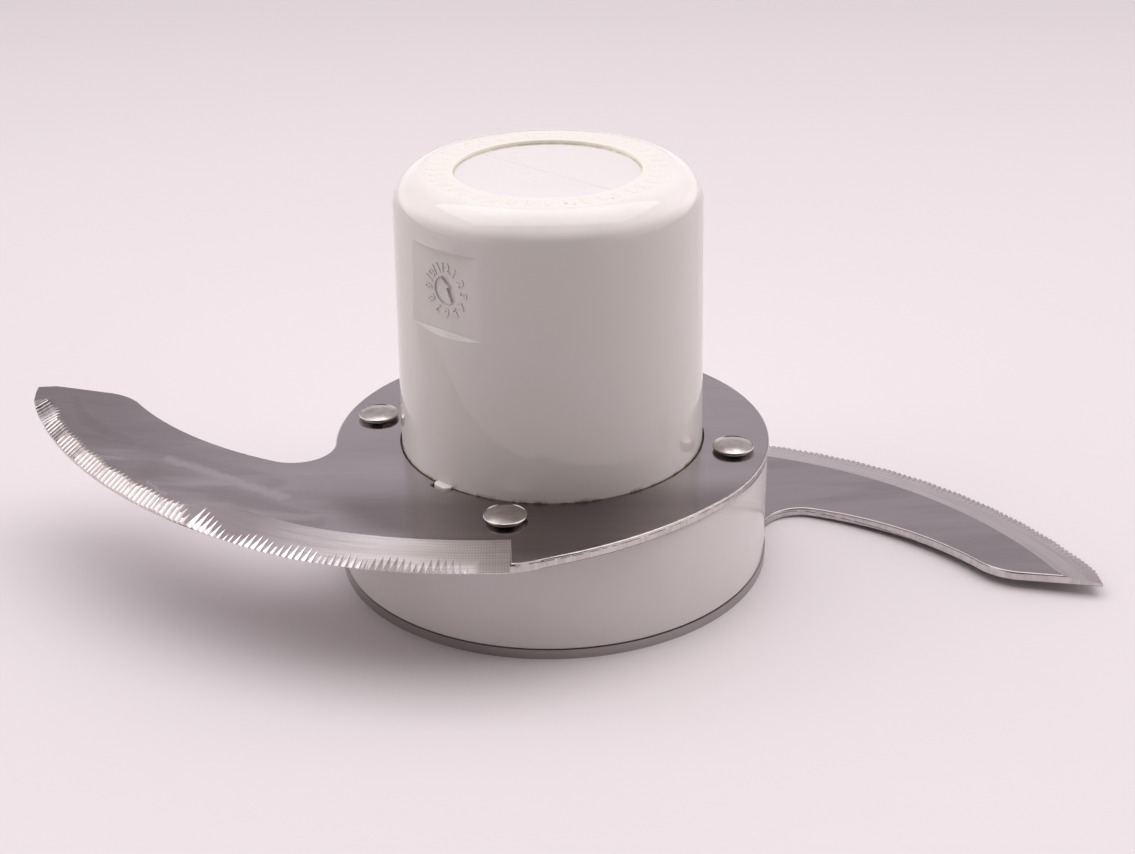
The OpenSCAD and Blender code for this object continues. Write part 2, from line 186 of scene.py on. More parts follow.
def hub_plastic(look):
    """Glossy white POM, injection moulded: a smooth, slightly wavy skin, with food residue in its corners."""
    m, tree, shader = new_material("hub_pom_moulded")
    mm, x, y, z = millimetres(tree)
    r = polar(tree, x, y)[0]
    patches = node(tree, "TexNoise", {"Vector": mm, "Scale": 0.06, "Detail": 3.0})

    # Painted light: faces that look up near the top and near the base are painted lighter than the upright sides, and
    # the base is a paler tone
    by_floor = mask(tree, (z, BASE_TOP, BASE_TOP - 1.0))
    ends = node(tree, "Math", (mask(tree, (z, 57.0, 60.0)), mask(tree, (z, 24.0, 22.0))), operation="ADD")
    colour = layered(tree, look.hub_colour, (by_floor, "#D6D1D2"),
                     (mask(tree, (facing_up(tree), 0.25, 0.55), ends), "#EAE6E4"),
                     (mask(tree, (patches, 0.35, 0.7, 0.0, 0.25)), "#CBC4BE"))

    # The flat faces of the top are a little cooler than the sides, and matt from the mould's spark-eroded floor
    at_top = mask(tree, (z, 65.0, 65.5))
    on_disc = mask(tree, (r, DISC_R, DISC_R - 0.3), at_top)
    on_band = mask(tree, (r, DISC_R - 0.1, DISC_R + 0.1), (r, BAND_R + 1.0, BAND_R - 1.6), (z, 66.6, 66.9))

    # Yellowed residue: in the recess's corner, most of it at the back, and where the hub stands in the blade
    grime = node(tree, "TexNoise", {"Vector": mm, "Scale": 0.5, "Detail": 4.0, "Roughness": 0.65})
    wall = mask(tree, (r, DISC_R - 0.35, DISC_R - 0.15), (r, DISC_R + 0.35, DISC_R + 0.05), at_top)
    corner = mask(tree, wall, (z, DISC_Z + 0.32, DISC_Z + 0.08), (y, -16.0, 8.0, 0.15, 1.0),
                  (grime, 0.25, 0.6, 0.25, 1.0), 0.75)
    foot = node(tree, "Math", (mask(tree, (z, RING_TOP + 0.14, RING_TOP + 0.02, 0.0, 0.8)),
                               mask(tree, (z, RING_TOP + 0.7, RING_TOP + 0.1), (grime, 0.45, 0.75))),
                operation="ADD", use_clamp=True)
    foot = mask(tree, foot, (z, BASE_TOP - 1.0, BASE_TOP), (r, HUB_R + 0.6, HUB_R + 0.2))

    # A few dark specks on the front of the band, 0.3 to 0.6 mm across
    specks = node(tree, "TexVoronoi", {"Vector": mm, "Scale": 0.55}, out="Distance", feature="F1")
    specks = mask(tree, (specks, 0.16, 0.08), on_band, (y, -13.0, -15.5), 0.6)
    # Painted light: the recess's wall is painted pale cream, lighter than the moulding, against the shade that falls in
    # the recess
    colour = layered(tree, colour, (on_disc, "#DEDADB"), (mask(tree, on_band, 0.7), "#E3DFD8"),
                     (mask(tree, wall, 0.7), "#F4F0E4"), (corner, "#A89A72"), (foot, "#72654A"),
                     (specks, "#8F8468"))

    gloss = mask(tree, (patches, 0.3, 0.75, look.hub_roughness - 0.01, look.hub_roughness + 0.02))
    spark_eroded = mask(tree, node(tree, "Math", (on_disc, on_band), operation="MAXIMUM"), 0.22)
    rough = node(tree, "Math", (gloss, spark_eroded), operation="ADD")
    sink = node(tree, "TexNoise", {"Vector": mm, "Scale": 0.1, "Detail": 1.0})
    grain = node(tree, "TexNoise", {"Vector": mm, "Scale": 6.0})
    wave = node(tree, "Math", (mask(tree, sink, 0.05), mask(tree, grain, 0.002)), operation="ADD")
    surface(tree, shader, colour, rough, wave, 0.6)
    shader.inputs["IOR"].default_value = 1.5
    shader.inputs["Specular IOR Level"].default_value = 0.5
    shader.inputs["Subsurface Weight"].default_value = 0.08
    shader.inputs["Subsurface Radius"].default_value = (0.004, 0.0035, 0.003)
    shader.inputs["Subsurface Scale"].default_value = 0.5
    return m


BladePlace = namedtuple("BladePlace", "mm x y z up off_axis inward along")


def blade_place(tree, turn):
    """Where a point of a blade is: its coordinates, how far its face looks up, its distance off the drive axis, in
    from the cutting edge, and along it from its lowest point, less than nothing towards the tip."""
    mm, x, y, z = millimetres(tree)
    centre = turned(turn) @ Vector((EDGE_X, EDGE_Y, 0.0))
    r, angle = polar(tree, x, y, centre.x, centre.y)
    angle = node(tree, "Math", (angle, math.radians(turn - 90)), operation="SUBTRACT")
    angle = node(tree, "Math", (angle, math.pi, -math.pi), operation="WRAP")
    inward = node(tree, "Math", (EDGE_R, r), operation="SUBTRACT")
    return BladePlace(mm, x, y, z, facing_up(tree), polar(tree, x, y)[0], inward, mask(tree, angle, EDGE_R))


def streak(tree, at, p, q, width):
    """A soft line on the plane from p to q: 1 along it, 0 a width away."""
    run = Vector((*q, 0.0)) - Vector((*p, 0.0))
    from_p = node(tree, "VectorMath", (at, (*p, 0.0)), operation="SUBTRACT")
    dot = node(tree, "VectorMath", (from_p, run), out="Value", operation="DOT_PRODUCT")
    share = node(tree, "Math", (dot, 1 / run.length_squared), operation="MULTIPLY", use_clamp=True)
    nearest = node(tree, "VectorMath", {0: run, "Scale": share}, operation="SCALE")
    gap = node(tree, "VectorMath", (from_p, nearest), out="Value", operation="DISTANCE")
    return mask(tree, (gap, width, 0.2 * width))


def satin_faces(tree, look, at, upper):
    """The rolled faces: lines 0.2 mm apart, and dried washing-up water in long smears down the arm."""
    rolled = node(tree, "Mapping", {"Vector": at.mm, "Scale": (0.04, 1.0, 1.0)})
    lines = node(tree, "TexNoise", {"Vector": rolled, "Scale": 5.0, "Detail": 3.0, "Roughness": 0.6})
    down_arm = node(tree, "Mapping", {"Vector": at.mm, "Rotation": (0.0, 0.0, math.radians(14.0)),
                                      "Scale": (0.032, 0.19, 0.1)})
    smears = node(tree, "TexNoise", {"Vector": down_arm, "Scale": 1.0, "Roughness": 0.45})
    clouds = node(tree, "TexNoise", {"Vector": at.mm, "Scale": 0.045, "Detail": 3.0})
    on_arm = mask(tree, (at.off_axis, 36.0, 48.0, 0.35, 1.0))
    dark = mask(tree, (smears, 0.46, 0.66, 0.0, 0.3), on_arm)
    light = mask(tree, (smears, 0.42, 0.26, 0.0, 0.25), on_arm)
    colour = layered(tree, look.steel_colour, (mask(tree, (clouds, 0.35, 0.65)), "#B5AFB1"))
    if upper:
        # The arm is darker towards its tip, and has dried marks of its own, their edges made uneven by noise
        colour = layered(tree, colour, (mask(tree, (at.x, -50.0, -78.0, 0.0, 0.85)), "#918B8D"))
        uneven = node(tree, "TexNoise", {"Vector": at.mm, "Scale": 0.35, "Detail": 3.0}, out="Color")
        uneven = node(tree, "VectorMath", (uneven, (0.5, 0.5, 0.5)), operation="SUBTRACT")
        spot = node(tree, "VectorMath", (uneven, (2.4, 2.4, 0.0), at.mm), operation="MULTIPLY_ADD")
        spot = node(tree, "VectorMath", (spot, (1.0, 1.0, 0.0)), operation="MULTIPLY")
        for p, q, width, strength in DARK_MARKS:
            mark = mask(tree, streak(tree, spot, p, q, width), strength)
            dark = node(tree, "Math", (dark, mark), operation="MAXIMUM")
        for p, q, width, strength in LIGHT_MARKS:
            mark = mask(tree, streak(tree, spot, p, q, width), strength)
            light = node(tree, "Math", (light, mark), operation="MAXIMUM")
    # Painted shade: the flat in front of the hub is painted darker, for the hub's shaded front that it mirrors
    mirrored_hub_shade = mask(tree, (at.y, -16.0, -26.0), (at.off_axis, 46.0, 39.0, 0.0, 0.95), (at.x, -44.0, -28.0))
    # Painted shade: the lower blade's faces are painted darker than the upper's
    colour = layered(tree, colour, (mirrored_hub_shade, "#8B8484"), (0.0 if upper else 0.25, "#8D8688"), (dark, "#7D7476"),
                     (light, "#D8D2D4"), (mask(tree, (lines, 0.35, 0.8, 0.0, 0.1)), "#DAD5D6"))
    rough = mask(tree, (clouds, 0.3, 0.7, look.steel_roughness - 0.02, look.steel_roughness + 0.04))
    dried = mask(tree, node(tree, "Math", (dark, light), operation="ADD"), 0.3)
    return colour, node(tree, "Math", (rough, dried), operation="ADD"), lines


def ground_bevel(tree, look, at, upper):
    """The ground bevel: streaks 0.2 mm wide that follow the edge, duller on its open face than in the grooves."""
    path = node(tree, "CombineXYZ", (at.inward, mask(tree, at.along, 0.03), 0.0))
    streaks = node(tree, "TexNoise", {"Vector": path, "Scale": 4.5, "Detail": 4.0, "Roughness": 0.65})
    broad = node(tree, "TexNoise", {"Vector": path, "Scale": 0.8})
    if upper:
        # Towards the tip the bevel's open face is darker
        bevel_darkening = mask(tree, (at.along, -14.0, -48.0), (at.up, *OPEN_UP), 0.9)
    else:
        # Painted shade: the lower blade's bevel is painted darker, its grooves most, so they are no brighter than the
        # rest of its bevel
        bevel_darkening = mask(tree, (at.up, 0.978, 0.968, 0.25, 0.7))
    # Towards its end the wheel was drawn across: a brown net of lines 0.45 and 0.6 mm apart
    across = node(tree, "Math", (mask(tree, (at.inward, 1.2, 3.0)), mask(tree, (at.along, -3.0, -1.5))),
                  operation="MAXIMUM")
    waves = [node(tree, "Math", (mask(tree, run, 2 * math.pi / step),), operation="SINE")
             for run, step in ((at.along, 0.45), (at.inward, 0.6))]
    net = mask(tree, node(tree, "Math", waves, operation="ADD"), 0.07)
    net = mask(tree, (at.along, -20.0, -5.0), across, node(tree, "Math", (net, 0.55), operation="ADD"))
    colour = layered(tree, "#C6BFC0", (mask(tree, (streaks, 0.3, 0.7)), look.bevel_colour),
                     (mask(tree, (broad, 0.5, 0.62, 0.0, 0.25)), "#9E9696"), (bevel_darkening, "#857D80"), (net, "#827970"))
    rough = node(tree, "Math", (mask(tree, (streaks, 0.3, 0.7, 0.15, 0.19)), mask(tree, (at.up, *OPEN_UP, 0.0, 0.16))),
                 operation="ADD")
    return colour, rough, streaks


def sheared_side(tree, at, upper):
    """The punched side: pale, with the broken dark line of the punch's burr under the rounded rim."""
    depth = node(tree, "Math", (RING_TOP if upper else SHEET, at.z), operation="SUBTRACT")
    upright = node(tree, "Mapping", {"Vector": at.mm, "Scale": (1.0, 1.0, 0.2)})
    breaks = node(tree, "TexNoise", {"Vector": upright, "Scale": 0.7, "Detail": 3.0, "Roughness": 0.6})
    patches = node(tree, "TexNoise", {"Vector": upright, "Scale": 1.3, "Roughness": 0.6})
    burr = mask(tree, (breaks, 0.4, 0.52, 0.0, 0.85), (depth, 0.3, 0.36), (depth, 0.52, 0.44))
    colour = layered(tree, "#C3BDBD", (mask(tree, (patches, 0.35, 0.65)), "#D2CDCD"))
    if not upper:
        # Painted shade: the lower ring's side is painted duller, for the skirt's shadow over it and the shaded floor
        # that it mirrors
        colour = layered(tree, colour, (mask(tree, (at.off_axis, 38.0, 36.6)), "#ABA4A5"))
        burr = mask(tree, burr, (at.off_axis, 38.0, 36.6, 1.0, 0.0))
    return layered(tree, colour, (burr, "#4E4746"))


def blade_steel(name, look, turn):
    """Rolled stainless sheet, stamped and ground: satin faces, a bright streaky bevel, pale sheared sides."""
    m, tree, shader = new_material(name)
    at, upper = blade_place(tree, turn), turn == 0
    # The faces are told apart by how far they lean: flat, ground, sheared
    ground = mask(tree, (at.up, *FLAT_UP), (at.up, 0.3, 0.5))
    side = mask(tree, (node(tree, "Math", (at.up,), operation="ABSOLUTE"), 0.5, 0.2))
    satin, satin_rough, lines = satin_faces(tree, look, at, upper)
    bevel, bevel_rough, streaks = ground_bevel(tree, look, at, upper)
    colour = layered(tree, satin, (ground, bevel), (side, sheared_side(tree, at, upper)))
    rough = node(tree, "Mix", {0: ground, 2: satin_rough, 3: bevel_rough}, data_type="FLOAT")
    rough = node(tree, "Math", (rough, mask(tree, side, 0.32)), operation="MAXIMUM")
    height = mask(tree, node(tree, "Math", (mask(tree, streaks, ground), lines), operation="ADD"), 0.002)
    surface(tree, shader, colour, rough, height, 0.7)
    shader.inputs["Metallic"].default_value = 1.0
    return m


def rivet_steel():
    """Cold-headed stainless rivets, tumbled: nearly bright domes, and upright sides painted dark, a painted shade and
    reflection of the dim room low down.
    """
    m, tree, shader = new_material("rivet_tumbled_stainless")
    marks = node(tree, "TexNoise", {"Vector": millimetres(tree)[0], "Scale": 0.7, "Detail": 3.0, "Roughness": 0.55})
    # Painted shade: the heads' upright sides are painted dark
    colour = layered(tree, "#C9C4BF", (mask(tree, (marks, 0.35, 0.7)), "#B2ABA7"),
                     (mask(tree, (facing_up(tree), 0.5, 0.2)), "#7A7471"))
    surface(tree, shader, colour, mask(tree, (marks, 0.3, 0.7, 0.2, 0.27)), mask(tree, marks, 0.008), 0.5)
    shader.inputs["Metallic"].default_value = 1.0
    return m


def paper(look):
    """Matt paper, rolled out without a crease: one even pale tone with a barely darker drift."""
    m, tree, shader = new_material("stage_paper")
    drift = node(tree, "TexNoise", {"Vector": millimetres(tree)[0], "Scale": 0.004})
    colour = layered(tree, look.floor_colour, (mask(tree, (drift, 0.3, 0.7, 0.0, 0.3)), "#D9D3D6"))
    tree.links.new(colour, shader.inputs["Base Color"])
    shader.inputs["Roughness"].default_value = 0.6
    return m


# ---- building

def turned(angle):
    """A turn about the drive axis, in degrees."""
    return Matrix.Rotation(math.radians(angle), 4, "Z")


def on_circle(radius, angle):
    """The x and y of a point on a circle about the drive axis."""
    return radius * math.cos(math.radians(angle)), radius * math.sin(math.radians(angle))


def rivet_spots():
    """The x and y of each rivet's axis."""
    return [on_circle(RIVET_R, RIVET_ANGLE + i * 360 / RIVETS) for i in range(RIVETS)]


def arc(cx, cz, r, start, stop, steps):
    """Points of a rounding in a revolved section: centre, radius, first and last angle."""
    return [(cx + r * math.cos(math.radians(start + (stop - start) * i / steps)),
             cz + r * math.sin(math.radians(start + (stop - start) * i / steps))) for i in range(steps + 1)]


def revolve(section, steps):
    """A closed bmesh from radii and heights that start and end on the drive axis."""
    bm = bmesh.new()
    line = [bm.verts.new((r, 0.0, z)) for r, z in section]
    chain = [bm.edges.new(pair) for pair in zip(line, line[1:])]
    bmesh.ops.spin(bm, geom=line + chain, cent=(0, 0, 0), axis=(0, 0, 1), angle=2 * math.pi, steps=steps,
                   use_merge=True)
    bmesh.ops.remove_doubles(bm, verts=bm.verts, dist=1e-5)
    bmesh.ops.recalc_face_normals(bm, faces=bm.faces)
    return bm


def prism(outline, push):
    """A closed bmesh: a flat outline pushed along a vector."""
    bm = bmesh.new()
    face = bm.faces.new([bm.verts.new(point) for point in outline])
    made = bmesh.ops.extrude_face_region(bm, geom=[face])["geom"]
    bmesh.ops.translate(bm, vec=push, verts=[v for v in made if isinstance(v, bmesh.types.BMVert)])
    bmesh.ops.recalc_face_normals(bm, faces=bm.faces)
    return bm


def box(bm, size, at, turn=0.0):
    """A box of a size in millimetres about a point that is then turned round the drive axis."""
    made = bmesh.ops.create_cube(bm, size=1.0)["verts"]
    place = turned(turn) @ Matrix.Translation(Vector(at)) @ Matrix.Diagonal((*size, 1.0))
    bmesh.ops.transform(bm, matrix=place, verts=made)
    return made


def bar(bm, x, width, z, turn):
    """A box across the x axis, between two x and two z, then turned round the drive axis."""
    return box(bm, (x[1] - x[0], width, z[1] - z[0]), ((x[0] + x[1]) / 2, 0.0, (z[0] + z[1]) / 2), turn)


def rod(bm, radius, z0, z1, at=(0.0, 0.0)):
    """An upright cylinder."""
    made = bmesh.ops.create_cone(bm, cap_ends=True, segments=48, radius1=radius, radius2=radius, depth=z1 - z0)["verts"]
    bmesh.ops.translate(bm, vec=(*at, (z0 + z1) / 2), verts=made)
    return made


def rounded(bm, edges, width, segments):
    """Rounds edges and gives the corners that this makes and the faces."""
    return bmesh.ops.bevel(bm, geom=edges, offset=width, segments=segments, profile=0.5, affect="EDGES",
                           material=-1)


def edges_of(verts):
    """All edges of something just added, each once and always in the same order."""
    return list(dict.fromkeys(e for v in verts for e in v.link_edges))


def mesh_object(name, bm, smooth=40.0):
    """A finished object from a bmesh in millimetres, smooth but for edges sharper than an angle, if one is given."""
    bmesh.ops.scale(bm, vec=(MM, MM, MM), verts=bm.verts)
    mesh = bpy.data.meshes.new(name)
    bm.to_mesh(mesh)
    bm.free()
    if smooth:
        mesh.shade_smooth()
        mesh.set_sharp_from_angle(angle=math.radians(smooth))
    made = bpy.data.objects.new(name, mesh)
    bpy.context.scene.collection.objects.link(made)
    return made


def bmesh_of(mesh):
    """A mesh as a bmesh in millimetres, its doubles merged."""
    bm = bmesh.new()
    bm.from_mesh(mesh)
    bmesh.ops.scale(bm, vec=(1 / MM, 1 / MM, 1 / MM), verts=bm.verts)
    bmesh.ops.remove_doubles(bm, verts=bm.verts, dist=MERGE)
    return bm


def combine(target, other, operation):
    """Joins another object to the target or cuts it out, and removes it."""
    tool = target.modifiers.new("combine", "BOOLEAN")
    tool.operation, tool.object, tool.solver = operation, other, "EXACT"
    with bpy.context.temp_override(object=target, active_object=target):
        bpy.ops.object.modifier_apply(modifier=tool.name)
    bpy.data.objects.remove(other)


def finish(piece, material, node_name):
    """Gives a piece its material, hides the node that it stands for and hangs it on the root body."""
    piece.data.materials.clear()
    piece.data.materials.append(material)
    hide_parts(node_name)
    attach(piece, "root")


# ---- the hub

def hub_section():
    """Radius and height of the hub's revolved wall, from the disc's middle round the outside to the socket's end."""
    slope = math.tan(math.radians(DRAFT))
    arc_z = TOTAL_H - TOP_FILLET
    arc_x = HUB_R - (arc_z - RING_TOP) * slope - TOP_FILLET / math.cos(math.radians(DRAFT))
    step_angle = math.degrees(math.acos((BAND_R + 0.15 - arc_x) / TOP_FILLET))
    crest = arc_z + TOP_FILLET * math.sin(math.radians(step_angle))
    points = [(0.0, DISC_Z), (DISC_R * 0.5, DISC_Z)]
    points += arc(DISC_R - 0.25, DISC_Z + 0.25, 0.25, -90, 0, 4)
    points += arc(DISC_R + 0.3, BAND_Z - 0.3, 0.3, 180, 90, 4)
    points += [(BAND_MID, BAND_Z)]
    points += arc(BAND_R - 0.12, BAND_Z + 0.12, 0.12, -90, -10, 3)
    points += [(BAND_R + 0.06, crest - 0.02)]
    points += arc(arc_x, arc_z, TOP_FILLET, step_angle, DRAFT, 22)
    # Rows of corners in the wall, five of them beside the window that is cut there
    heights = [60.4, 57.0, 53.8, 50.5, 47.2, 40.0, 32.0, 25.0]
    points += [(HUB_R - (h - RING_TOP) * slope, h) for h in heights]
    points += [(HUB_R, RING_TOP), (HUB_R, BASE_TOP)]
    points += arc(SKIRT_R - 0.3, BASE_TOP - 0.3, 0.3, 90, 0, 4)
    points += [(SKIRT_R, 10.0)]
    points += arc(SKIRT_R - 0.3, SHEET + 0.3, 0.3, 0, -90, 4)
    points += [(SKIRT_R - SKIRT_WALL, SHEET), (SKIRT_R - SKIRT_WALL, BASE_TOP - DECK), (HUB_R, BASE_TOP - DECK)]
    points += arc(HUB_R - 0.3, 0.3, 0.3, 0, -90, 3)
    points += arc(HUB_R - HUB_WALL + 0.3, 0.3, 0.3, -90, -180, 3)
    points += [(HUB_R - HUB_WALL - INNER_TOP * slope, INNER_TOP), (BORE_R + SLEEVE_WALL, INNER_TOP)]
    points += arc(BORE_R + SLEEVE_WALL - 0.4, 0.4, 0.4, 0, -90, 3)
    points += arc(BORE_R + 0.6, 0.6, 0.6, -90, -180, 4)
    points += [(BORE_R, GUIDE_L), (SOCKET_R, GUIDE_L), (SOCKET_R, GUIDE_L + SOCKET_L), (0.0, GUIDE_L + SOCKET_L)]
    return points


def add_drive(bm):
    """Ribs from the sleeve to the hub's wall, and the drive keys in the socket."""
    for i in range(RIBS):
        bar(bm, (BORE_R + 2.0, HUB_R - HUB_WALL + 0.5), RIB_T, (1.0, INNER_TOP + 0.5), i * 360 / RIBS)
    for i in range(KEYS):
        bar(bm, (SOCKET_R - KEY_H, SOCKET_R + 0.5), KEY_W, (GUIDE_L, GUIDE_L + SOCKET_L + 1.0), i * 360 / KEYS)


def add_nubs(bm):
    """The two nubs that stand in the blades' notches, rounded at their corners and round their tops."""
    for turn, low, high in ((0.0, BASE_TOP - 0.5, RING_TOP + NUB_PROUD), (LOWER_TURN, 0.0, SHEET + 0.5)):
        made = bar(bm, (HUB_R - 2.0, HUB_R + NUB_OUT), NUB_W, (low, high), NUB_ANGLE + turn)
        upright = [e for e in edges_of(made) if abs(e.verts[0].co.z - e.verts[1].co.z) > 1.0]
        made = rounded(bm, upright, 1.0, 4)["verts"]
        top = [e for e in edges_of(made) if min(v.co.z for v in e.verts) > high - 0.01]
        rounded(bm, top, 0.2, 2)


def add_base(bm):
    """Rivet bosses and ribs in the base's pocket."""
    for spot in rivet_spots():
        rod(bm, BOSS_R, SHEET + 0.02, BASE_TOP - DECK + 0.5, spot)
    for i in range(2 * RIVETS):
        bar(bm, (HUB_R, SKIRT_R - 1.0), RIB_T, (SHEET + 0.1, BASE_TOP - DECK + 0.1),
            RIVET_ANGLE + (i + 0.5) * 180 / RIVETS)


def add_top(bm, look):
    """Plain low bars where the top carries its embossed ring, and the knit line that stands out by a hair."""
    for i in range(look.top_bars):
        long = 2.2 + random.random() * 0.9
        made = box(bm, (long, 1.1, 0.5), (BAND_MID + 0.2, 0.0, BAND_Z - 0.18), i * 360 / look.top_bars)
        rounded(bm, edges_of(made), 0.2, 3)
    box(bm, (2 * DISC_R - 2.4, 0.3, 0.2), (0.0, 0.0, DISC_Z - 0.075), KNIT_ANGLE)


def window_place():
    """How far out the window's floor is, and its place: x along it, y up, z out of the hub, from the dial's middle."""
    wall_r = HUB_R - (WINDOW_Z - RING_TOP) * math.tan(math.radians(DRAFT))
    floor_r = math.sqrt(wall_r ** 2 - WINDOW_W ** 2 / 4)
    return floor_r, turned(WINDOW_ANGLE) @ Matrix(((0, 0, 1, floor_r), (1, 0, 0, 0), (0, 1, 0, WINDOW_Z), (0, 0, 0, 1)))


def cut_window(bm, floor_r):
    """The window: a flat across the wall, its lower ledge sloping outwards, so it catches the light from above."""
    made = bar(bm, (floor_r, floor_r + 6.0), 2 * WINDOW_W, (WINDOW_Z - WINDOW_H / 2, WINDOW_Z + WINDOW_H / 2),
               WINDOW_ANGLE)
    out = turned(WINDOW_ANGLE) @ Vector((1.0, 0.0, 0.0))
    low = [v for v in made if v.co.z < WINDOW_Z and v.co @ out > floor_r + 3.0]
    bmesh.ops.translate(bm, vec=(0.0, 0.0, -LEDGE_DROP), verts=low)


def numeral(bm, text, place):
    """A raised numeral, its middle at the place's origin."""
    letters = bpy.data.curves.new("numeral", "FONT")
    letters.body, letters.size, letters.extrude, letters.offset = text, NUMBER_SIZE, 0.13, 0.07
    letters.align_x, letters.align_y, letters.resolution_u = "CENTER", "CENTER", 3
    holder = bpy.data.objects.new("numeral", letters)
    bpy.context.scene.collection.objects.link(holder)
    flat = bpy.data.meshes.new_from_object(holder.evaluated_get(bpy.context.evaluated_depsgraph_get()))
    known = set(bm.verts)
    bm.from_mesh(flat)
    bmesh.ops.transform(bm, matrix=place, verts=[v for v in bm.verts if v not in known])
    bpy.data.objects.remove(holder)


def date_insert(place):
    """The date insert as a bmesh in metres: a low pointer in its middle and plain numbers round it."""
    bm = bmesh.new()
    shaft = box(bm, (0.85, 3.6, 0.5), (0.0, -0.2, -0.08))
    head = bmesh.ops.create_cone(bm, cap_ends=True, segments=3, radius1=1.35, radius2=1.2, depth=0.5)["verts"]
    bmesh.ops.translate(bm, vec=(0.0, 0.9, -0.07), verts=head)
    bmesh.ops.transform(bm, matrix=place @ turned(POINTER_ANGLE), verts=shaft + head)
    middle = Matrix.Translation((0.0, (DIAL_R + DIAL_CORE_R) / 2 + 0.1, 0.0))
    for hour in range(1, 13):
        numeral(bm, str(hour), place @ turned(-30.0 * hour) @ middle)
    bmesh.ops.remove_doubles(bm, verts=bm.verts, dist=1e-4)
    bmesh.ops.recalc_face_normals(bm, faces=bm.faces)
    bmesh.ops.scale(bm, vec=(MM, MM, MM), verts=bm.verts)
    return bm


def make_hub(look):
    """The white moulding: its revolved wall, what is joined to it and cut from it, and the date insert set in it."""
    hub = mesh_object("hub_moulding", revolve(hub_section(), look.hub_facets))
    bm = bmesh.new()
    add_drive(bm)
    add_nubs(bm)
    add_base(bm)
    add_top(bm, look)
    combine(hub, mesh_object("adder", bm), "UNION")

    floor_r, place = window_place()
    bm = bmesh.new()
    cut_window(bm, floor_r)
    for spot in rivet_spots():
        rod(bm, SHANK_R + SHANK_GAP, 1.0, BASE_TOP + 1.0, spot)
    combine(hub, mesh_object("cutter", bm), "DIFFERENCE")
    # The date insert's sunk middle
    bm = bmesh.new()
    bmesh.ops.transform(bm, matrix=place, verts=rod(bm, DIAL_CORE_R, -0.25, 1.0))
    combine(hub, mesh_object("core", bm), "DIFFERENCE")

    # A boolean would lose the wall among shells as small as the numerals, so these are joined as they stand
    bm = date_insert(place)
    bm.from_mesh(hub.data)
    bm.to_mesh(hub.data)
    bm.free()
    hub.data.shade_smooth()
    hub.data.set_sharp_from_angle(angle=math.radians(35))
    finish(hub, hub_plastic(look), "hub")


# ---- the blades

def arm_rise(x):
    """How far the bent upper arm has risen at a place along it."""
    lean = math.tan(math.radians(BEND_ANGLE)) / BEND_STEPS
    return sum(lean * max(0.0, -BEND_START - k * BEND_PITCH - x) for k in range(BEND_STEPS))


def tip_comb(i):
    """What one pass of the serrating wheel takes off near the tip, where it bites through the whole sheet."""
    first = i == 0
    skew = math.radians(0.0 if first else GROOVE_SKEW * max(0.0, 1.0 - i / PASSES * SKEW_FADE))
    rise = (SHEET - EDGE_LAND) / GROOVE_L
    half = GROOVES * GROOVE_PITCH * math.cos(skew) / 2
    ridge = []
    for groove in range(GROOVES):
        for part, height in GROOVE_SECTION:
            across = 2 * half * (groove + part) / GROOVES - half
            low = GROOVE_CROWN * (across / half) ** 2 - rise * (across * math.sin(skew) + SCALLOP)
            ridge.append((-2.0, across, low + EDGE_LAND + height * (FIRST_PASS_DEPTH if first else 1.0)))
    ridge.append((-2.0, half, GROOVE_CROWN - rise * (half * math.sin(skew) + SCALLOP) + EDGE_LAND))
    ridge += [(-2.0, half, 4.0), (-2.0, -half, 4.0)]
    bm = prism(ridge, (9.0, 0.0, 0.0))
    angle = TEETH_TO - (PASSES - i - 0.5) * PASS_STEP
    place = (Matrix.Translation((EDGE_X, EDGE_Y, BASE_TOP)) @ turned(angle) @ Matrix.Translation((EDGE_R, 0.0, 0.0))
             @ turned(180.0) @ Matrix.Rotation(skew, 4, "Z")
             @ Matrix.Rotation(-math.atan(rise * math.cos(skew)), 4, "Y"))
    bmesh.ops.transform(bm, matrix=place, verts=bm.verts)
    for v in bm.verts:
        v.co.z += arm_rise(v.co.x)
    return mesh_object("tip_comb", bm)


def bevel_end(turn, underside):
    """The wheel's last touch, at the bevel's square end."""
    bm = bmesh.new()
    made = box(bm, (9.5, 2.2, 3.0), (-3.25, -1.1, 1.5))
    place = (turned(turn) @ Matrix.Translation((EDGE_X, EDGE_Y, underside + EDGE_LAND)) @ turned(BEVEL_END)
             @ Matrix.Translation((EDGE_R - BEVEL_W, 0.0, 0.0)) @ turned(END_SKEW)
             @ Matrix.Translation((BEVEL_W, 0.0, 0.0)) @ Matrix.Rotation(math.atan(BEVEL_SLOPE), 4, "Y"))
    bmesh.ops.transform(bm, matrix=place, verts=made)
    return mesh_object("bevel_end", bm)


def rim_edges(bm, turn):
    """The upper edges of a blade's punched outline, without the cutting edge, the hub's hole and the rivet holes."""
    edge_c = turned(turn) @ Vector((EDGE_X, EDGE_Y, 0.0))
    spots = [Vector((*spot, 0.0)) for spot in rivet_spots()]

    def on_rim(edge):
        if len(edge.link_faces) != 2:
            return False
        leans = sorted(abs(f.normal.z) for f in edge.link_faces)
        if leans[0] > 0.3 or leans[1] < 0.99 or edge.calc_face_angle_signed() < 0.5:
            return False
        ends = [Vector((*v.co.xy, 0.0)) for v in edge.verts]
        if all(e.length < HUB_R + 3.0 for e in ends) or any((e - s).length < 3.5 for e in ends for s in spots):
            return False
        # The bevel's square end counts, and all inside the cutting edge but the lower blade's ring
        reach = [(e - edge_c).length for e in ends]
        turns = [math.degrees(math.atan2((e - edge_c).y, (e - edge_c).x)) - turn for e in ends]
        if min(reach) > 70.0 and all(abs((a - BEVEL_END + 180) % 360 - 180) < 0.5 for a in turns):
            return True
        return max(reach) < EDGE_R - 0.8 and not (turn and max(e.length for e in ends) < RING_R + 0.4)

    return [e for e in bm.edges if on_rim(e)]


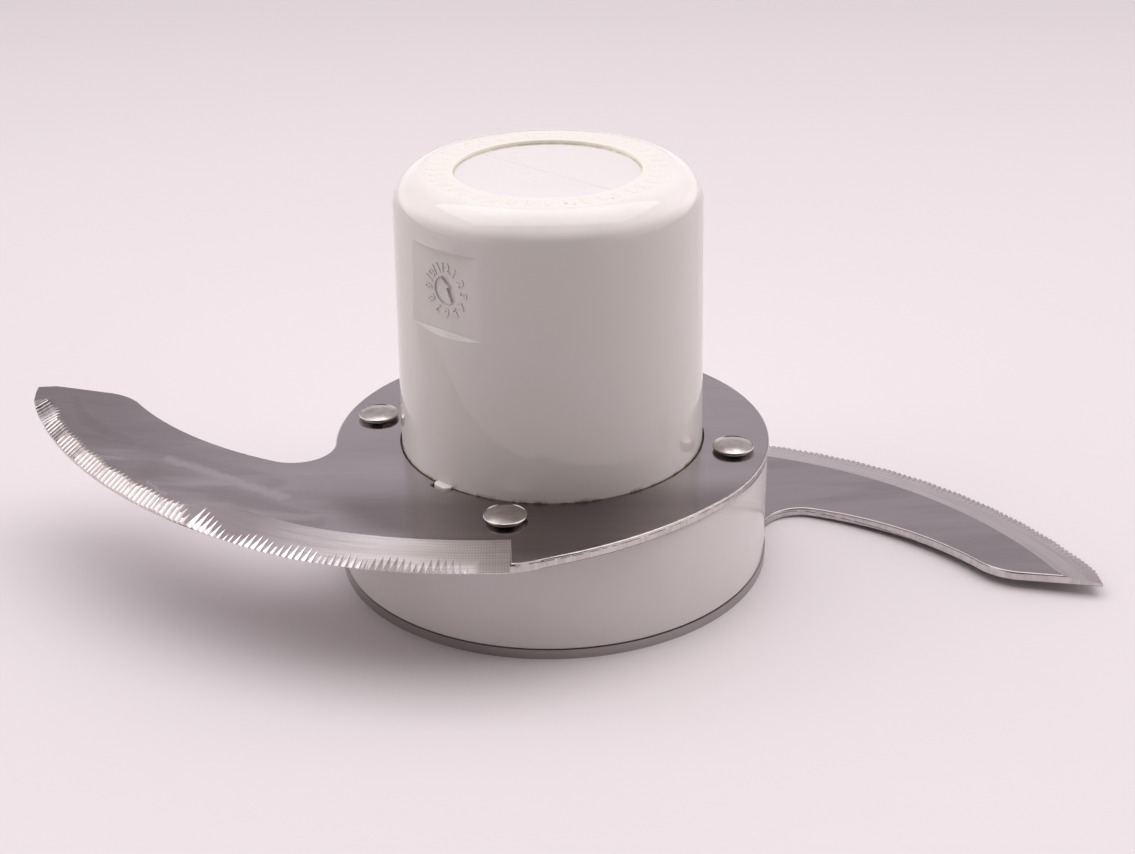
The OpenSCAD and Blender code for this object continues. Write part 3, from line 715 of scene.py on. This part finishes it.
def make_blade(look, node_name, turn):
    """A blade from a merged copy of its CAD node: its flat faces made whole and its punched rim rounded."""
    rough = mesh_object("rough_blade", bmesh_of(NODES[node_name].data))
    if turn == 0:
        for i in range(look.tip_passes):
            combine(rough, tip_comb(i), "DIFFERENCE")
        outline = [(x, y, BASE_TOP - 2.0) for x, y in TIP_OFF]
        combine(rough, mesh_object("tip_trim", prism(outline, (0.0, 0.0, 12.0))), "DIFFERENCE")
    combine(rough, bevel_end(turn, BASE_TOP if turn == 0 else 0.0), "DIFFERENCE")
    bm = bmesh_of(rough.data)
    bpy.data.objects.remove(rough)
    bmesh.ops.dissolve_limit(bm, angle_limit=math.radians(FLAT_WITHIN), verts=bm.verts, edges=bm.edges)
    bm.normal_update()

    # Flat faces stay flat. An edge is smooth up to 8 degrees, or more with a rounding's strips on one or both sides
    strips = set(rounded(bm, rim_edges(bm, turn), look.rim_width / MM, 3)["faces"])
    for f in bm.faces:
        f.smooth = f in strips or abs(f.normal.z) < 0.9965
    for e in bm.edges:
        if len(e.link_faces) == 2:
            both = sum(f in strips for f in e.link_faces)
            e.smooth = e.calc_face_angle() < math.radians((8.0, 33.0, 40.0)[both])
    blade = mesh_object(node_name + "_sheet", bm, None)
    finish(blade, blade_steel(node_name + "_stainless", look, turn), node_name)


# ---- the rivets

def make_rivet(i, material):
    """A cold-headed rivet: domed head with a rolled edge, shank, and the closed end in its countersink."""
    dome_r = (HEAD_R ** 2 + HEAD_DOME ** 2) / (2 * HEAD_DOME)
    lowest = RING_TOP + HEAD_SIDE
    rim_angle = math.degrees(math.asin((HEAD_R - 0.2) / dome_r))
    section = [(0.0, 0.0), (TAIL_R, 0.0), (SHANK_R, TAIL_DEPTH), (SHANK_R, RING_TOP),
               (HEAD_R - HEAD_TAPER - 0.1, RING_TOP), (HEAD_R - HEAD_TAPER, RING_TOP + 0.1)]
    section += arc(HEAD_R - 0.24, lowest - 0.05, 0.24, -12, 90 - rim_angle, 6)
    section += arc(0.0, lowest + HEAD_DOME - dome_r, dome_r, 90 - rim_angle, 90, 12)
    bm = revolve(section, 72)
    bmesh.ops.translate(bm, vec=(*rivet_spots()[i], 0.0), verts=bm.verts)
    finish(mesh_object("rivet_%d_headed" % (i + 1), bm), material, "rivet_%d" % (i + 1))


# ---- the add-on

class CutterLook(bpy.types.PropertyGroup):
    hub_colour: bpy.props.StringProperty(name="Hub colour", description="sRGB hex of the white plastic",
                                         default="#CCC8C6")
    hub_roughness: bpy.props.FloatProperty(name="Hub roughness", description="Gloss of the moulded plastic",
                                           default=0.045, min=0.02, max=0.8)
    hub_facets: bpy.props.IntProperty(name="Hub facets", description="Steps of the hub's round wall",
                                      default=192, min=48, max=360)
    top_bars: bpy.props.IntProperty(name="Top bars", description="Plain raised bars in the ring on top",
                                    default=40, min=0, max=60)
    steel_colour: bpy.props.StringProperty(name="Steel colour", description="sRGB hex of the satin faces",
                                           default="#BBB5B7")
    bevel_colour: bpy.props.StringProperty(name="Bevel colour", description="sRGB hex of the ground bevel",
                                           default="#D8D2D2")
    steel_roughness: bpy.props.FloatProperty(name="Steel roughness", description="Gloss of the satin faces",
                                             default=0.15, min=0.05, max=0.8)
    tip_passes: bpy.props.IntProperty(name="Tip passes", description="Passes of grooves cut through the upper tip",
                                      default=8, min=0, max=9)
    rim_width: bpy.props.FloatProperty(name="Rim", description="Rounding of the blades' punched rim",
                                       default=0.0003, min=0.0001, max=0.0006, unit="LENGTH")


class StageLook(bpy.types.PropertyGroup):
    floor_colour: bpy.props.StringProperty(name="Floor colour", description="sRGB hex of the paper sweep",
                                           default="#DDD7DA")
    floor_reach: bpy.props.FloatProperty(name="Floor reach", description="From the floor's middle to its sides",
                                         default=1.8, min=0.5, unit="LENGTH")
    light_power: bpy.props.FloatProperty(name="Light power", description="Power of the soft light overhead",
                                         default=4.25, min=0.0, unit="POWER")
    light_height: bpy.props.FloatProperty(name="Light height", description="Height of the soft light",
                                          default=0.62, min=0.2, unit="LENGTH")
    light_width: bpy.props.FloatProperty(name="Light width", description="Width of the soft light",
                                         default=1.15, min=0.1, unit="LENGTH")
    light_depth: bpy.props.FloatProperty(name="Light depth", description="Depth of the soft light, front to back",
                                         default=0.64, min=0.1, unit="LENGTH")
    room_back: bpy.props.FloatProperty(name="Room behind", description="Brightness of the room behind the object",
                                       default=0.66, min=0.0, max=2.0)
    room_sides: bpy.props.FloatProperty(name="Room at the sides", description="Brightness of the room left and right",
                                        default=1.85, min=0.0, max=2.0)
    room_front: bpy.props.FloatProperty(name="Room in front", description="Brightness of the room at the camera",
                                        default=0.07, min=0.0, max=2.0)


def studio_room(look):
    """The room round the table: pale behind, paler still low down there, dim and warm where the photographer stands."""
    room = bpy.data.worlds.new("studio")
    room.use_nodes = True
    tree = room.node_tree
    x, y, z = node(tree, "SeparateXYZ", (node(tree, "TexCoord", out="Generated"),), out=None)
    aside = mask(tree, (node(tree, "Math", (x,), operation="ABSOLUTE"), 0.45, 0.98))
    ahead = mask(tree, (y, -0.7, 0.5, look.room_front, look.room_back))
    sides = mask(tree, (x, -0.2, 0.2, look.room_sides, 1.05 * look.room_sides))
    low = mask(tree, (z, 0.32, 0.08, 0.0, 0.4), (y, 0.0, 0.8))
    strength = node(tree, "Math", (mask(tree, (aside, 0.0, 1.0, ahead, sides)), low), operation="ADD")
    background = tree.nodes["Background"]
    tree.links.new(layered(tree, "#E8DCD4", (mask(tree, (y, -0.7, 0.5)), "#F6ECF2")), background.inputs["Color"])
    tree.links.new(strength, background.inputs["Strength"])
    return room


class CUTTER_OT_stage(bpy.types.Operator):
    """Make the floor, the lights and the camera"""
    bl_idname = "cutter.stage"
    bl_label = "Stage"

    def execute(self, context):
        look = context.scene.stage_look
        bm = bmesh.new()
        bmesh.ops.create_grid(bm, x_segments=8, y_segments=8, size=look.floor_reach / MM)
        floor = mesh_object("paper_floor", bm)
        floor.data.materials.append(paper(look))

        lamp = bpy.data.lights.new("overhead_softbox", "AREA")
        lamp.shape, lamp.size, lamp.size_y = "RECTANGLE", look.light_width, look.light_depth
        lamp.energy, lamp.color = look.light_power, linear("#FFFDFD")[:3]
        over = bpy.data.objects.new("overhead_softbox", lamp)
        over.location = (0.0, 0.04, look.light_height)
        context.scene.collection.objects.link(over)
        context.scene.world = studio_room(look)
        context.scene.view_settings.view_transform = "Standard"

        lens = bpy.data.cameras.new("camera")
        lens.lens, lens.sensor_width, lens.sensor_fit, lens.clip_start = CAMERA_LENS, 36.0, "HORIZONTAL", 0.01
        camera = bpy.data.objects.new("camera", lens)
        camera.matrix_world = (Matrix.Translation(CAMERA_AT) @ Matrix.Rotation(CAMERA_YAW, 4, "Z")
                               @ Matrix.Rotation(math.pi / 2 - CAMERA_DOWN, 4, "X")
                               @ Matrix.Rotation(CAMERA_ROLL, 4, "Z"))
        context.scene.collection.objects.link(camera)
        context.scene.camera = camera
        return {"FINISHED"}


class CUTTER_OT_hub(bpy.types.Operator):
    """Make the hub with its rounded edges, its window and its top"""
    bl_idname = "cutter.hub"
    bl_label = "Hub"

    def execute(self, context):
        make_hub(context.scene.cutter_look)
        return {"FINISHED"}


class CUTTER_OT_blades(bpy.types.Operator):
    """Make the two blades with rounded rims, satin faces and ground bevels"""
    bl_idname = "cutter.blades"
    bl_label = "Blades"

    def execute(self, context):
        look = context.scene.cutter_look
        make_blade(look, "upper_blade", 0.0)
        make_blade(look, "lower_blade", LOWER_TURN)
        return {"FINISHED"}


class CUTTER_OT_rivets(bpy.types.Operator):
    """Make the four rivets"""
    bl_idname = "cutter.rivets"
    bl_label = "Rivets"

    def execute(self, context):
        material = rivet_steel()
        for i in range(RIVETS):
            make_rivet(i, material)
        return {"FINISHED"}


STEPS = ("stage", "hub", "blades", "rivets")


class CUTTER_PT_panel(bpy.types.Panel):
    bl_idname = "CUTTER_PT_panel"
    bl_label = "Food processor blade"
    bl_space_type = "VIEW_3D"
    bl_region_type = "UI"
    bl_category = "Cutter"

    def draw(self, context):
        for step in STEPS:
            self.layout.operator("cutter." + step)
        for group in (context.scene.cutter_look, context.scene.stage_look):
            for name in group.__annotations__:
                self.layout.prop(group, name)


CLASSES = (CutterLook, StageLook, CUTTER_OT_stage, CUTTER_OT_hub, CUTTER_OT_blades, CUTTER_OT_rivets, CUTTER_PT_panel)


def register():
    for kind in CLASSES:
        bpy.utils.register_class(kind)
    bpy.types.Scene.cutter_look = bpy.props.PointerProperty(type=CutterLook)
    bpy.types.Scene.stage_look = bpy.props.PointerProperty(type=StageLook)


def unregister():
    del bpy.types.Scene.stage_look
    del bpy.types.Scene.cutter_look
    for kind in reversed(CLASSES):
        bpy.utils.unregister_class(kind)


def main():
    random.seed(7)
    register()
    for step in STEPS:
        getattr(bpy.ops.cutter, step)()


if __name__ == "__main__":
    main()
